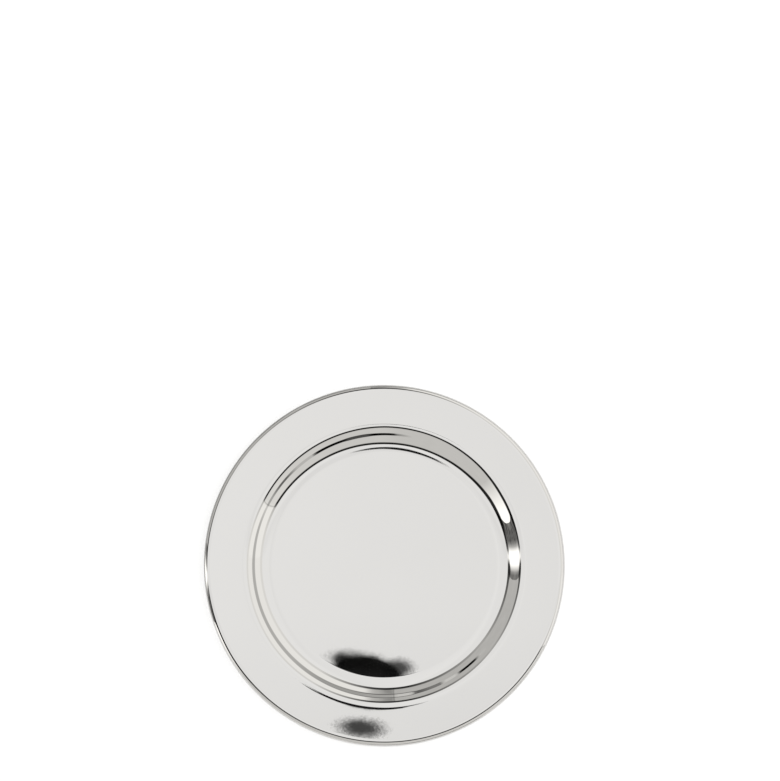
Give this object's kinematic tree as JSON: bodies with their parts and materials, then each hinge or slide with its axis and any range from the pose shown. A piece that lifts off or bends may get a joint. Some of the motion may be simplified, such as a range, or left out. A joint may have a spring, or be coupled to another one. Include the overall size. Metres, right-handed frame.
{
  "type": "bottle coaster",
  "caption": "Shallow round bottle coaster of polished sheet metal: flat floor, sloping wall, broad flat rim and a rolled, wired edge, on a felt base pad.",
  "frame": {"origin": "centre of the felt base pad's lower face, on the table", "axes": "+Z up along the axis of the dish; +X and +Y lie in the table plane, with the picture taken from above and +Y up in it"},
  "size_m": [0.14, 0.14, 0.007],
  "materials": {
    "polished_silver": "mirror-polished silver over sheet metal",
    "core_wire": "drawn wire",
    "glue": "dried contact glue",
    "felt": "pressed wool felt"
  },
  "bodies": {
    "root": {"dish": "polished_silver", "rim_wire": "core_wire", "adhesive_film": "glue", "base_pad": "felt"}
  },
  "joints": []
}
